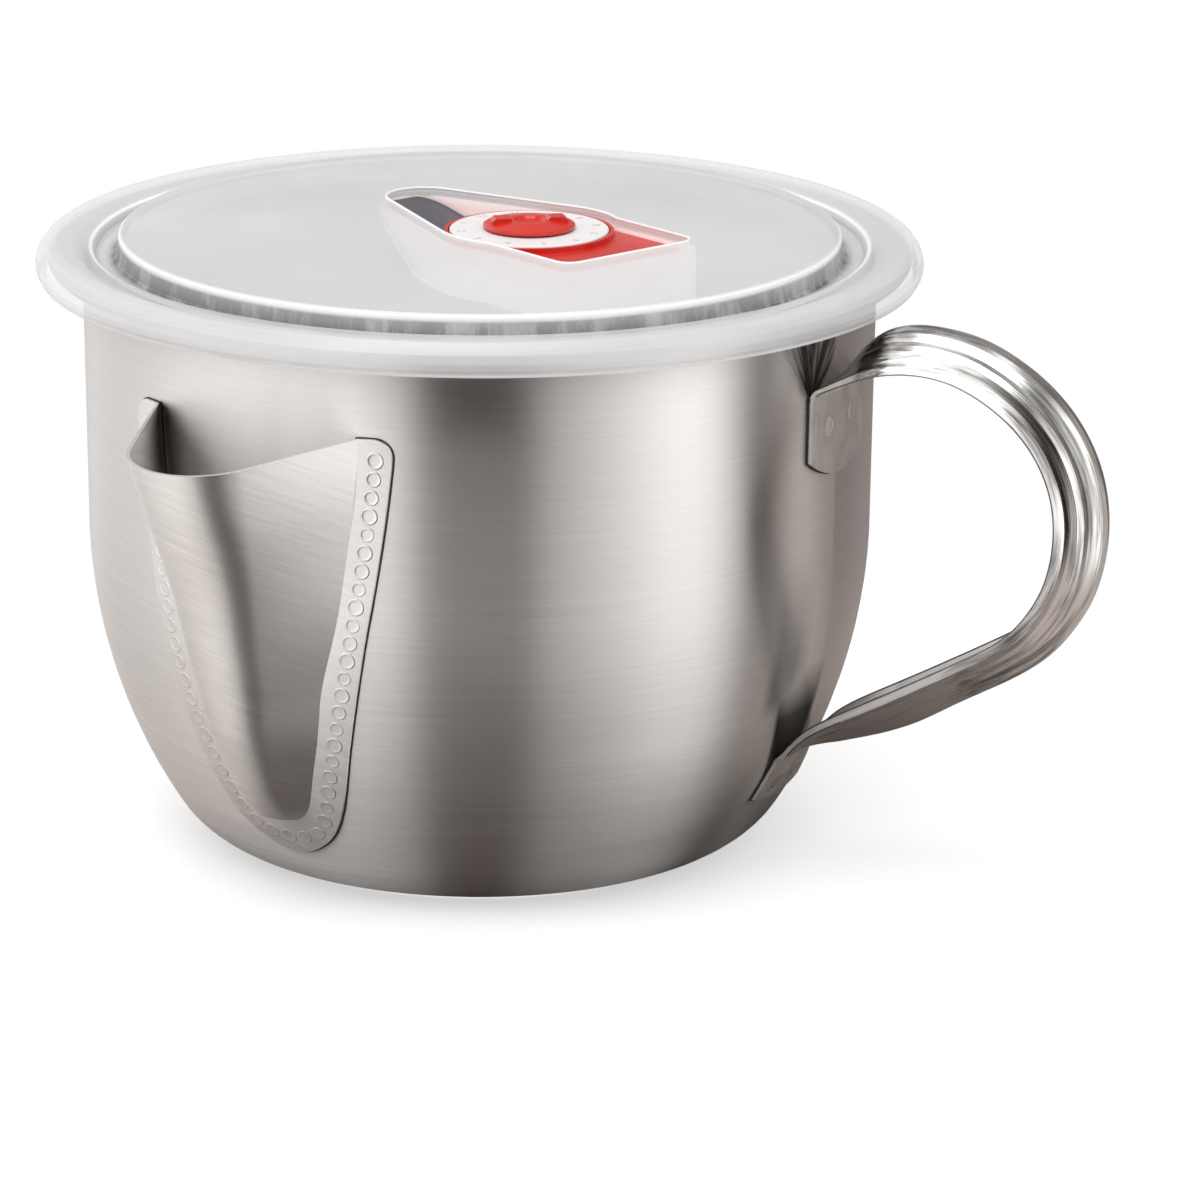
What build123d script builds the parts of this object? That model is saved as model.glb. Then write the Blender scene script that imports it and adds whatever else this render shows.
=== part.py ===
from build123d import *
import math
import os

# A lidded grease pot: a deep-drawn steel pot with a welded spout and a channel
# handle, and a soft lid with a date dial and a vent knob.
# Millimetres, +Z up. The origin is the centre of the base, on the table.
# The handle points along +X.

# ---------------------------------------------------------------- pot
base_r = 40.7            # flat of the base
corner_r = 16.5          # arc between the base and the lower wall
corner_turn = 57.7       # degrees that this arc turns
belly_r = 94.7           # long arc of the lower wall
belly_top = 59.8         # height where the wall becomes straight
taper = 0.46             # outward lean of the straight wall, degrees
wall = 0.6               # sheet thickness of the pot and the spout
rim_start = 103.55        # height where the rim begins to turn outward
rim_fillet = 1.9         # radius of that turn, on the outside
rim_curl_r = 1.4         # outer radius of the curled edge
rim_flat = 2.66          # flat of the rim, between that turn and the curl
strainer_hole_r = 1.8

# ---------------------------------------------------------------- spout
spout_angle = -95.4      # direction of the spout about Z, degrees
lip_z = 88.8             # height of the lip where it meets the wall
lip_slope = 0.11         # fall of the lip per mm outward
nose_z = [16.2, 17.2, 18.6, 21.5, 27.3, 34.8, 43.7, 51.7, 58.1, 64.2, 72.0, 84.3, 95.0]
nose_stand = [-0.8, 2.6, 5.0, 6.74, 8.01, 9.36, 10.33, 11.83, 13.5, 15.68, 19.01, 24.01, 28.43]
nose_r = [3.0, 3.7, 4.3, 5.0, 6.1, 7.6, 9.2, 10.3, 10.9, 11.4, 12.0, 12.8, 13.3]
bend_deg = [4.4, 5.0, 5.6, 6.5, 8.1, 10.0, 11.9, 13.3, 14.2, 15.0, 16.0, 17.1, 17.9]
flange_z = [10.3, 11.8, 14.1, 20.8, 31.0, 43.0, 54.0, 69.6, 84.0]
flange_deg = [3.2, 6.0, 8.6, 12.0, 14.3, 16.4, 18.1, 20.4, 22.0]
flange_corner = 3.0
weld_r = 1.4
weld_pitch = 3.2
weld_start = 3.6         # the first weld below the lip

# ---------------------------------------------------------------- handle
strip = 0.8              # sheet thickness of the handle
channel_half = 7.0       # half the channel's width
seam = 0.08              # gap between two welded sheets
tab_half = 10.2          # half the upper tab's width
tab_bottom = 74.0
tongue_half = 8.8        # half the lower tongue's width
tongue_bottom = 13.8
tongue_top = 22.1        # height where the channel has run out into the tongue
fold_r = 2.4             # radius of the fold above the tab
fold_z = 88.1            # height where that fold starts
handle_weld_r = 1.7
tab_spots = [(-4.4, 83.2), (4.4, 83.8)]       # spot welds: across, height
tongue_spots = [(-3.2, 18.0), (3.2, 18.4)]

# ---------------------------------------------------------------- lid
lid_gap = 0.35           # gap between the lid and the pot
lid_wall = 1.2
skirt_play = 1.0         # gap between the rim's curl and the skirt
skirt_drop = 3.6         # the skirt's widest ring lies below the crown
skirt_depth = 2.3        # and reaches this far below that ring
crown_in = 3.8           # the crown's highest ring lies inside the widest one
plug_wall = 1.28         # wall of the plug at the groove
groove_width = 4.0
groove_depth = 2.8       # below the crown
panel_rise = 1.3         # the panel stands above the crown
well_depth = 9.2
valve_x = 6.2            # centre of the date dial
valve_y = 6.55
valve_angle = -21.5      # direction of the well's square end, degrees
well_r = 16.3            # round seat
well_tip = 35.8          # reach of the finger scoop
tip_r = 7.0              # radius of the scoop's end
well_tail = 27.4         # reach of the square end
well_half = 14.9
ramp_foot = 16.0         # where the finger ramp meets the floor
ramp_lip = 1.4           # depth of the ramp's upper end below the panel

# ---------------------------------------------------------------- valve
plate_play = 1.0         # gap between the plate and the well's wall
plate_sink = 1.75        # the plate's top lies below the panel
plate_t = 1.5
dial_r = 14.05
dial_t = 0.8
dial_lift = 0.25         # gap under the dial
dial_fit = 0.06          # running clearance of the dial on its collar
bezel_gap = 0.3          # gap between the dial and the raised bezel round it
bezel_t = 0.65
collar_r = 7.34
knob_r = 8.13
cap_gap = 0.28           # gap between the dial and the knob's cap
knob_edge = 0.5          # height of the knob's straight edge
knob_h = 1.35            # height of the knob at its dimple
ear_top = 1.9            # height of the ears
ear_in = 3.1             # the ears reach from this radius
ear_out = 6.8            # to this one
ear_half = 1.5
knob_turn = 37.0         # direction of the knob's ears, degrees
dimple_r = 2.9
stem_r = 2.4
stem_tip_r = 1.5
vent_hole_r = 3.0

os.makedirs("parts", exist_ok=True)


def polar(radius, degrees):
    a = math.radians(degrees)
    return radius * math.cos(a), radius * math.sin(a)


def interpolate(x, xs, ys):
    if x <= xs[0]:
        return ys[0]
    for x0, x1, y0, y1 in zip(xs, xs[1:], ys, ys[1:]):
        if x <= x1:
            return y0 + (y1 - y0) * (x - x0) / (x1 - x0)
    return ys[-1]


# The pot's outer profile: base, corner arc, long belly arc, straight wall.
turn = math.radians(corner_turn)
knee_r = base_r + corner_r * math.sin(turn)
knee_z = corner_r * (1 - math.cos(turn))
belly_end = math.acos(math.cos(turn) - (belly_top - knee_z) / belly_r)
belly_out = knee_r + belly_r * (math.sin(belly_end) - math.sin(turn))
wall_top_r = belly_out + (rim_start - belly_top) * math.tan(math.radians(taper))


def pot_radius(z):
    if z < knee_z:
        t = math.acos(1 - max(z, 0) / corner_r)
        return base_r + corner_r * math.sin(t)
    if z < belly_top:
        t = math.acos(math.cos(turn) - (z - knee_z) / belly_r)
        return knee_r + belly_r * (math.sin(t) - math.sin(turn))
    return belly_out + (z - belly_top) * math.tan(math.radians(taper))


def arc_mid(centre, radius, start, end):
    a = math.radians((start + end) / 2)
    return centre[0] + radius * math.cos(a), centre[1] + radius * math.sin(a)


def arc_at(centre, radius, degrees):
    a = math.radians(degrees)
    return centre[0] + radius * math.cos(a), centre[1] + radius * math.sin(a)


def wall_lines(offset):
    """The wall's profile, moved inward by an offset, from the axis to the rim's start."""
    corner_c = (base_r, corner_r)
    belly_c = (knee_r - belly_r * math.sin(turn), knee_z + belly_r * math.cos(turn))
    end = math.degrees(belly_end)
    r0 = corner_r - offset
    r1 = belly_r - offset
    knee = arc_at(corner_c, r0, -90 + corner_turn)
    shoulder = arc_at(belly_c, r1, -90 + end)
    top = (wall_top_r - offset, rim_start)
    Line((0, offset), (base_r, offset))
    ThreePointArc((base_r, offset), arc_mid(corner_c, r0, -90, -90 + corner_turn), knee)
    ThreePointArc(knee, arc_mid(belly_c, r1, -90 + corner_turn, -90 + end), shoulder)
    Line(shoulder, top)
    return top


# %% Pot body: drawn wall, flange turned outward and curled down
rim_c = (wall_top_r + rim_fillet, rim_start)
flange_under = rim_start + rim_fillet
rim_curl_at = rim_c[0] + rim_flat
curl_c = (rim_curl_at, flange_under + wall - rim_curl_r)
rim_top = flange_under + wall
crown_z = rim_top + lid_gap + lid_wall
panel_z = crown_z + panel_rise
well_floor = panel_z - well_depth
curl_end = -100
with BuildPart() as pot_body:
    with BuildSketch(Plane.XZ):
        with BuildLine():
            outer_top = wall_lines(0)
            inner_top = wall_lines(wall)
            Line((0, 0), (0, wall))
            ThreePointArc(
                outer_top,
                arc_mid(rim_c, rim_fillet, 180, 90),
                (rim_c[0], flange_under),
            )
            Line((rim_c[0], flange_under), (rim_curl_at, flange_under))
            ThreePointArc(
                (rim_curl_at, flange_under),
                arc_mid(curl_c, rim_curl_r - wall, 90, curl_end),
                arc_at(curl_c, rim_curl_r - wall, curl_end),
            )
            Line(
                arc_at(curl_c, rim_curl_r - wall, curl_end),
                arc_at(curl_c, rim_curl_r, curl_end),
            )
            ThreePointArc(
                arc_at(curl_c, rim_curl_r, curl_end),
                arc_mid(curl_c, rim_curl_r, curl_end, 90),
                (rim_curl_at, rim_top),
            )
            Line((rim_curl_at, rim_top), (rim_c[0], rim_top))
            ThreePointArc(
                (rim_c[0], rim_top),
                arc_mid(rim_c, rim_fillet + wall, 90, 180),
                inner_top,
            )
        make_face()
    revolve(axis=Axis.Z)
    # Strainer holes: rows of round holes through the wall behind the spout.
    for row_z, count in [(24, 2), (31, 3), (38, 4), (45, 4)]:
        for k in range(count):
            swing = (k - (count - 1) / 2) * 5.6 / pot_radius(row_z) * 180 / math.pi
            cx, cy = polar(pot_radius(row_z), spout_angle + swing)
            with BuildSketch(Plane(origin=(cx, cy, row_z), z_dir=(cx, cy, 0))):
                Circle(strainer_hole_r)
            extrude(amount=6, both=True, mode=Mode.SUBTRACT)
pot_body.part.label = "pot_body"
export_step(pot_body.part, "parts/pot_body.step")


# The pot's solid outer shape, grown by a margin, for trimming what is welded to it.
def grown_pot(margin):
    with BuildPart() as blank:
        with BuildSketch(Plane.XZ):
            with BuildLine():
                top = wall_lines(-margin)
                Line(top, (0, rim_start))
                Line((0, rim_start), (0, -margin))
            make_face()
        revolve(axis=Axis.Z)
    return blank.part


# %% Spout: a V-shaped sleeve with a round nose, and a border that follows the wall
spout_dir = Vector(*polar(1, spout_angle), 0)
spout_side = Vector(*polar(1, spout_angle + 90), 0)


def sleeve_face(z, inset):
    """One level section of the sleeve: two straight sides that meet a round nose."""
    out = pot_radius(z) + interpolate(z, nose_z, nose_stand) - inset
    r = max(interpolate(z, nose_z, nose_r) - inset, 0.4)
    half = math.radians(interpolate(z, nose_z, bend_deg))
    hold = pot_radius(z) + seam + wall
    foot_out = min(hold * math.cos(half), out - 1.3 * r)
    foot = (foot_out, hold * math.sin(half) - inset * 1.05)
    back = (foot[0] - 6, foot[1])
    nose_c = out - r
    reach = math.hypot(nose_c - foot[0], foot[1])
    lean = math.atan2(-foot[1], nose_c - foot[0]) + math.asin(min(r / reach, 0.999))
    run = math.sqrt(max(reach * reach - r * r, 0.01))
    tangent = (foot[0] + run * math.cos(lean), foot[1] + run * math.sin(lean))
    level = Plane(origin=(0, 0, z), x_dir=spout_dir, z_dir=(0, 0, 1))
    with BuildSketch(level) as face:
        with BuildLine():
            Polyline((back[0], -back[1]), (foot[0], -foot[1]), (tangent[0], -tangent[1]))
            ThreePointArc((tangent[0], -tangent[1]), (out, 0), tangent)
            Polyline(tangent, foot, back, (back[0], -back[1]))
        make_face()
    return face.sketch.face()


def sleeve(inset):
    with BuildPart() as body:
        loft([sleeve_face(z, inset) for z in nose_z])
    return body.part


def border_outline(shrink):
    """The border seen along the spout's direction, as points (side, height)."""
    right = []
    for z, deg in zip(flange_z, flange_deg):
        right.append((pot_radius(z) * math.sin(math.radians(deg)) - shrink, z))
    return right


spout_face = Plane(origin=(0, 0, 0), x_dir=spout_side, z_dir=spout_dir)
lip_tilt = math.degrees(math.atan(lip_slope))
lip_hold = pot_radius(lip_z) * math.cos(math.radians(bend_deg[-1]))
lip_origin = spout_dir * lip_hold + Vector(0, 0, lip_z)
lip_normal = Vector(0, 0, 1) + spout_dir * lip_slope
lip_plane = Plane(origin=lip_origin, x_dir=spout_side, z_dir=lip_normal)

sleeve_outer = sleeve(0)
sleeve_inner = sleeve(wall)
trim_pot = grown_pot(seam)

with BuildPart() as sleeve_wall:
    add(sleeve_outer)
    add(trim_pot, mode=Mode.SUBTRACT)

with BuildPart() as spout:
    # border: a shell over the pot, trimmed to its outline
    add(grown_pot(seam + wall))
    add(trim_pot, mode=Mode.SUBTRACT)
    edge = border_outline(0)
    corner = (edge[-1][0] + 0.3, lip_z)
    with BuildSketch(spout_face):
        with BuildLine():
            Spline(*edge)
            Spline(*[(-s, h) for s, h in edge])
            ThreePointArc((-edge[0][0], edge[0][1]), (0, edge[0][1] - 0.5), edge[0])
            Polyline(edge[-1], corner, (-corner[0], corner[1]), (-edge[-1][0], edge[-1][1]))
        make_face()
        fillet(vertices().sort_by(Axis.Y)[-2:], flange_corner)
    extrude(amount=110, mode=Mode.INTERSECT)
    add(sleeve_wall.part)
    add(sleeve_inner, mode=Mode.SUBTRACT)
    split(bisect_by=lip_plane, keep=Keep.BOTTOM)
spout.part.label = "spout"
export_step(spout.part, "parts/spout.step")


# %% Spot welds: nuggets that join two sheets, along the middle of the spout's border
def wall_normal(z):
    """The pot wall's outward normal at a height, as (radial, vertical)."""
    slope = (pot_radius(z + 0.2) - pot_radius(z - 0.2)) / 0.4
    size = math.hypot(1, slope)
    return 1 / size, -slope / size


def wall_plane(degrees, z, depth):
    """A plane tangent to the wall, a little under its outer face."""
    nr, nz = wall_normal(z)
    r = pot_radius(z)
    normal = Vector(*polar(nr, degrees), nz)
    point = Vector(*polar(r, degrees), z)
    return Plane(origin=point - normal * depth, z_dir=normal)


def border_middle():
    """Weld places (degrees from the spout's middle, height) along one half of the border."""
    line = []
    z = lip_z - weld_start
    while z > nose_z[0] + 2:
        inner = interpolate(z, nose_z, bend_deg)
        outer = interpolate(z, flange_z, flange_deg)
        line.append(((inner + outer) / 2, z))
        z -= 0.2
    low = (flange_z[0] + nose_z[0]) / 2 + 0.2
    start = line[-1]
    for k in range(1, 31):
        turned = k / 30 * math.pi / 2
        line.append((start[0] * math.cos(turned), start[1] - (start[1] - low) * math.sin(turned)))
    places = [line[0]]
    walked = 0
    for before, here in zip(line, line[1:]):
        across = math.radians(here[0] - before[0]) * pot_radius(here[1])
        walked += math.hypot(across, here[1] - before[1])
        if walked >= weld_pitch:
            places.append(here)
            walked = 0
    return places


right_places = border_middle()
left_places = [(-deg, z) for deg, z in right_places if deg > 0.6 * weld_pitch]
weld_spots = right_places + left_places
with BuildPart() as spout_welds:
    for deg, z in weld_spots:
        with BuildSketch(wall_plane(spout_angle + deg, z, wall / 2)):
            Circle(weld_r)
        extrude(amount=wall / 2 + seam + wall + 0.05)
spout_welds.part.label = "spout_welds"
export_step(spout_welds.part, "parts/spout_welds.step")

# %% Handle: one strip of sheet, pressed into a ribbed channel between two flat ends
# Half of the channel's section: distance from the middle, and depth.
outer_t = [0.0, 1.4, 2.4, 3.1, 3.5, 4.5, 5.5, 6.3, 6.6, 7.0]
outer_h = [6.9, 6.7, 6.15, 5.4, 4.9, 4.55, 3.75, 2.5, 1.8, 1.4]
inner_t = [6.3, 6.1, 5.75, 5.4, 4.8, 4.0, 2.8, 2.35, 1.2, 0.0]
inner_h = [0.0, 1.05, 1.5, 2.35, 3.15, 3.75, 4.2, 4.85, 5.85, 6.05]
# The line of the channel's open edges: distance from the straight wall, height.
edge_path = [
    (15.0, 94.4), (19.9, 94.6), (24.7, 93.8), (29.7, 91.8), (34.5, 88.8), (38.3, 85.2), (41.1, 81.1),
    (43.0, 76.2), (43.7, 71.0), (43.3, 65.6), (41.9, 60.5), (39.5, 56.0), (36.2, 51.9), (32.1, 48.6),
    (27.3, 45.6), (20.0, 41.3), (12.7, 37.1),
]


def off_wall(out, z, *rest):
    """A station of the strip, its radius given as a distance from the wall at its height."""
    return pot_radius(z) + out, z, *rest


def strip_face(r, z, angle, half, depth, bow):
    """A section of the strip: depth 0 is flat, depth 1 the full channel.

    The bow bends a flat section to the pot's curve."""
    a = math.radians(angle)
    across = Plane(origin=(r, 0, z), x_dir=(0, 1, 0), z_dir=(math.cos(a), 0, math.sin(a)))
    k = half / channel_half
    outer = [(t * k, strip * (1 - depth) + depth * h) for t, h in zip(outer_t, outer_h)]
    outer.append((half, 0))
    inner = [(t * k, depth * h) for t, h in zip(inner_t, inner_h)]
    ring = outer + inner + [(-t, h) for t, h in inner[-2::-1]] + [(-t, h) for t, h in outer[:0:-1]]
    ring = [(t, h + bow * t * t) for t, h in ring]
    with BuildSketch(across) as face:
        with BuildLine():
            Polyline(*ring, close=True)
        make_face()
    return face.sketch.face()


def tab_station(z):
    r = pot_radius(z) + seam + strip
    return r, z, 90, tab_half, 0, 0.5 / r


def tongue_station(z, half):
    nr, nz = wall_normal(z)
    angle = math.degrees(math.atan2(-nr, nz))
    r = pot_radius(z) + seam * nr
    return r, z + seam * nz, angle, half, 0, -0.5 * nr / r


# Upper end: the tab on the wall, then the fold that turns the strip outward.
tab_middle = (tab_bottom + fold_z) / 2
upper = [tab_station(tab_bottom), tab_station(tab_middle), tab_station(fold_z)]
fold_c = (upper[-1][0] + fold_r, fold_z)
for turned, bow in [(15, 0.0066), (30, 0.0056), (45, 0.0044), (60, 0.0030)]:
    r, z = arc_at(fold_c, fold_r, 180 - turned)
    upper.append((r, z, 90 - turned, tab_half, 0.02, bow))
upper.append(off_wall(4.16, 91.3, 27, 9.4, 0.26, 0.0018))

# Middle: the channel swings out, down and back towards the pot.
middle = [upper[-1], off_wall(6.75, 92.5, 21, 8.5, 0.6, 0.0008), off_wall(10.24, 93.7, 13, 7.6, 0.9, 0)]
for before, here, after in zip(edge_path, edge_path[1:], edge_path[2:]):
    angle = math.degrees(math.atan2(after[1] - before[1], after[0] - before[0]))
    middle.append((belly_out + here[0], here[1], angle, channel_half, 1.0, 0))
middle += [
    off_wall(15.1, 37.1, -150.5, 7.0, 1.03, 0),
    off_wall(9.6, 33.5, -151, 7.0, 0.90, 0),
    off_wall(5.61, 30.7, -148.5, 6.9, 0.72, 0),
    off_wall(3.14, 28.4, -142, 6.8, 0.52, -0.0008),
]

# Lower end: the channel runs out and the tongue follows the wall down.
lower = [
    middle[-1],
    off_wall(2.09, 26.8, -134, 6.8, 0.36, -0.0018),
    off_wall(1.43, 25.3, -126, 6.8, 0.18, -0.0034),
    off_wall(1.06, 23.9, -119, 6.9, 0.06, -0.0052),
    tongue_station(tongue_top, tongue_half - 1.7),
    tongue_station((2 * tongue_top + tongue_bottom) / 3, tongue_half - 0.9),
    tongue_station((tongue_top + 2 * tongue_bottom) / 3, tongue_half - 0.4),
    tongue_station(tongue_bottom, tongue_half),
]
with BuildPart() as handle:
    loft([strip_face(*station) for station in upper], ruled=True)
    loft([strip_face(*station) for station in middle])
    loft([strip_face(*station) for station in lower], ruled=True)
    # the ends of the tab and the tongue are rounded off
    for base_z, half, rise in [(tab_bottom, tab_half, 3.8), (tongue_bottom, tongue_half, 1.4)]:
        with BuildSketch(Plane.YZ.offset(base_r)):
            with BuildLine():
                ThreePointArc((-half - 0.3, base_z + rise), (0, base_z + 0.2), (half + 0.3, base_z + rise))
                Polyline(
                    (half + 0.3, base_z + rise),
                    (half + 0.3, base_z - 4),
                    (-half - 0.3, base_z - 4),
                    (-half - 0.3, base_z + rise),
                )
            make_face()
        extrude(amount=corner_r + 18, mode=Mode.SUBTRACT)
handle.part.label = "handle"
export_step(handle.part, "parts/handle.step")

with BuildPart() as handle_welds:
    for side, z in tab_spots + tongue_spots:
        swing = math.degrees(side / pot_radius(z))
        with BuildSketch(wall_plane(swing, z, wall / 2)):
            Circle(handle_weld_r)
        extrude(amount=wall / 2 + seam + strip + 0.05)
handle_welds.part.label = "handle_welds"
export_step(handle_welds.part, "parts/handle_welds.step")

# %% Lid: skirt, crown over the rim, plug groove and a raised panel with a well
plug_r = wall_top_r - wall - lid_gap
groove_out = plug_r - plug_wall
groove_floor = crown_z - groove_depth
panel_r = groove_out - groove_width
under_crown = rim_top + lid_gap
panel_under = panel_z - lid_wall
groove_under = groove_floor - lid_wall
rim_clear = rim_fillet + wall + lid_gap
curl_out = rim_curl_at + rim_curl_r
skirt_in = curl_out + skirt_play
skirt_r = skirt_in + lid_wall
skirt_z = crown_z - skirt_drop
skirt_bottom = skirt_z - skirt_depth
crown_r = skirt_r - crown_in
valve_dir = Vector(*polar(1, valve_angle), 0)
valve_side = Vector(*polar(1, valve_angle + 90), 0)


def valve_plane(z):
    return Plane(origin=(valve_x, valve_y, z), x_dir=valve_dir, z_dir=(0, 0, 1))


def well_sketch(grow):
    """The well seen from above: a round seat, a finger scoop and a square tail."""
    with BuildSketch() as scoop:
        Circle(well_r + grow)
        with Locations((tip_r - well_tip, 0)):
            Circle(tip_r + grow)
        make_hull()
    with BuildSketch() as outline:
        add(scoop.sketch)
        with Locations(((well_tail + grow) / 2, 0)):
            Rectangle(well_tail + grow, 2 * (well_half + grow))
        fillet(outline.vertices().sort_by(Axis.X)[-2:], 3.0 + grow)
    return outline.sketch


def well_block(grow, floor, top):
    """The well's outline, standing on its floor, with the ramp up to the scoop's end."""
    ramp_top = panel_z - ramp_lip - (well_floor - floor)
    reach = well_tip + 4
    with BuildPart() as block:
        with BuildSketch(valve_plane(floor)):
            add(well_sketch(grow))
        extrude(amount=top - floor)
        side_plane = Plane(origin=(valve_x, valve_y, 0), x_dir=valve_dir, z_dir=-valve_side)
        with BuildSketch(side_plane):
            with BuildLine():
                Polyline(
                    (-ramp_foot, floor - 1),
                    (-ramp_foot, floor),
                    (-well_tip, ramp_top),
                    (-reach, ramp_top),
                    (-reach, floor - 1),
                    close=True,
                )
            make_face()
        extrude(amount=40, both=True, mode=Mode.SUBTRACT)
    return block.part


with BuildPart() as lid:
    with BuildSketch(Plane.XZ):
        with BuildLine():
            Polyline(
                (0, panel_z),
                (panel_r - 0.7, panel_z),
                (panel_r - 0.1, panel_z - 0.5),
                (panel_r + 0.3, groove_floor + 0.5),
                (panel_r + 0.8, groove_floor),
                (groove_out - 0.7, groove_floor),
                (groove_out - 0.2, groove_floor + 0.4),
                (groove_out, crown_z - 1.8),
                (groove_out + 0.4, crown_z - 1.25),
                (groove_out + 1.5, crown_z - 0.75),
                (crown_r - 2.7, crown_z - 0.25),
                (crown_r, crown_z),
                (skirt_r - 2.2, crown_z - 0.3),
                (skirt_r - 1.2, crown_z - 1.0),
                (skirt_r - 0.4, crown_z - 2.1),
                (skirt_r, skirt_z),
                (skirt_r - 0.1, skirt_z - 1.0),
                (skirt_r - 0.8, skirt_bottom),
                (skirt_in - 0.6, skirt_bottom),
                (skirt_in, skirt_z - 0.8),
                (skirt_in, skirt_z),
                (skirt_in - 0.2, crown_z - 2.3),
                (curl_out + 0.2, under_crown - 0.2),
                (curl_out - 0.4, under_crown),
                (rim_c[0], under_crown),
            )
            ThreePointArc(
                (rim_c[0], under_crown),
                arc_mid(rim_c, rim_clear, 90, 180),
                (plug_r, rim_start),
            )
            Polyline(
                (plug_r, rim_start),
                (plug_r - 0.1, groove_under + 0.9),
                (plug_r - 0.9, groove_under),
                (panel_r - 0.4, groove_under),
                (panel_r - 0.9, groove_under + 0.6),
                (panel_r - 1.2, panel_under - 0.5),
                (panel_r - 1.7, panel_under),
                (0, panel_under),
                (0, panel_z),
            )
        make_face()
    revolve(axis=Axis.Z)
    add(well_block(lid_wall, well_floor - lid_wall, panel_z))
    add(well_block(0, well_floor, panel_z + 2), mode=Mode.SUBTRACT)
    with BuildSketch(valve_plane(well_floor - 2 * lid_wall)):
        Circle(vent_hole_r)
    extrude(amount=3 * lid_wall, mode=Mode.SUBTRACT)
lid.part.label = "lid"
export_step(lid.part, "parts/lid.step")

# %% Valve plate: a flat plate on a hub and two feet, with the dial's collar and bezel
hub_r = collar_r
collar_bore = stem_r + 0.6
hub_bore = hub_r - 1.4
plate_z = panel_z - plate_sink
plate_r = well_r - plate_play
plate_tail = well_tail - plate_play
plate_half = well_half - plate_play
dial_z = plate_z + dial_lift
dial_top = dial_z + dial_t
bezel_in = dial_r + bezel_gap
collar_top = dial_top - 0.1
foot_x = plate_tail - 5
foot_y = plate_half - 4
with BuildPart() as valve_plate:
    with BuildSketch(valve_plane(plate_z - plate_t)):
        Circle(plate_r)
        with Locations((plate_tail / 2, 0)):
            Rectangle(plate_tail, 2 * plate_half)
        fillet(vertices().sort_by(Axis.X)[-2:], 2.2)
    extrude(amount=plate_t)
    tail_edges = edges().filter_by(GeomType.LINE).group_by(Axis.Z)[-1]
    chamfer(tail_edges, 0.5)
    with BuildSketch(valve_plane(plate_z - 0.3)):
        Circle(bezel_in + bezel_t)
        Circle(bezel_in, mode=Mode.SUBTRACT)
    extrude(amount=dial_top - plate_z + 0.1)
    with BuildSketch(valve_plane(plate_z)):
        Circle(collar_r)
    extrude(amount=collar_top - plate_z)
    with BuildSketch(valve_plane(well_floor)):
        Circle(hub_r)
        with Locations((foot_x, foot_y), (foot_x, -foot_y)):
            Rectangle(2.4, 2.4)
    extrude(amount=plate_z - plate_t - well_floor)
    with BuildSketch(valve_plane(well_floor)):
        Circle(hub_bore)
    extrude(amount=plate_z - plate_t - well_floor, mode=Mode.SUBTRACT)
    with BuildSketch(valve_plane(well_floor)):
        Circle(collar_bore)
    extrude(amount=dial_top - well_floor, mode=Mode.SUBTRACT)
    # two windows at the hub's foot let the air out
    with BuildSketch(valve_plane(well_floor)):
        Rectangle(4 * hub_r, 3)
    extrude(amount=2.2, mode=Mode.SUBTRACT)
valve_plate.part.label = "valve_plate"
export_step(valve_plate.part, "parts/valve_plate.step")

# %% Date dial: a flat ring that turns on the collar
with BuildPart() as date_dial:
    with BuildSketch(valve_plane(dial_z)):
        Circle(dial_r)
        Circle(collar_r + dial_fit, mode=Mode.SUBTRACT)
    extrude(amount=dial_t)
    fillet(edges().group_by(Axis.Z)[-1].sort_by(SortBy.RADIUS)[-1], 0.25)
date_dial.part.label = "date_dial"
export_step(date_dial.part, "parts/date_dial.step")

# %% Vent knob: a low round cap with two ears and a dimple, on a stem
cap_z = dial_top + cap_gap
stem_foot = well_floor + 1.8
tip_foot = well_floor - 0.4
ear_dir = Vector(*polar(1, knob_turn), 0)
ear_plane = Plane(origin=(valve_x, valve_y, 0), x_dir=ear_dir, z_dir=ear_dir.cross(Vector(0, 0, 1)))
with BuildPart() as vent_knob:
    with BuildSketch(ear_plane):
        with BuildLine():
            Polyline(
                (0, cap_z),
                (knob_r - 0.2, cap_z),
                (knob_r, cap_z + 0.15),
                (knob_r, cap_z + knob_edge),
                (knob_r - 0.4, cap_z + knob_edge + 0.25),
                (dimple_r + 1.1, cap_z + knob_h),
                (dimple_r, cap_z + knob_h),
                (dimple_r - 0.5, cap_z + knob_h - 0.5),
                (0, cap_z + knob_h - 0.65),
                (0, cap_z),
            )
        make_face()
    revolve(axis=Axis(origin=(valve_x, valve_y, 0), direction=(0, 0, 1)))
    with BuildSketch(ear_plane):
        for way in (1, -1):
            with BuildLine():
                Polyline(
                    (way * ear_in, cap_z + knob_edge),
                    (way * ear_in, cap_z + knob_h),
                    (way * (ear_in + 0.5), cap_z + ear_top),
                    (way * (ear_out - 0.7), cap_z + ear_top),
                    (way * ear_out, cap_z + ear_top - 0.6),
                    (way * ear_out, cap_z + knob_edge),
                    close=True,
                )
            make_face()
    extrude(amount=ear_half, both=True)
    with BuildSketch(valve_plane(stem_foot)):
        Circle(stem_r)
    extrude(amount=cap_z - stem_foot)
    with BuildSketch(valve_plane(tip_foot)):
        Circle(stem_tip_r)
    extrude(amount=stem_foot - tip_foot)
vent_knob.part.label = "vent_knob"
export_step(vent_knob.part, "parts/vent_knob.step")

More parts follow.
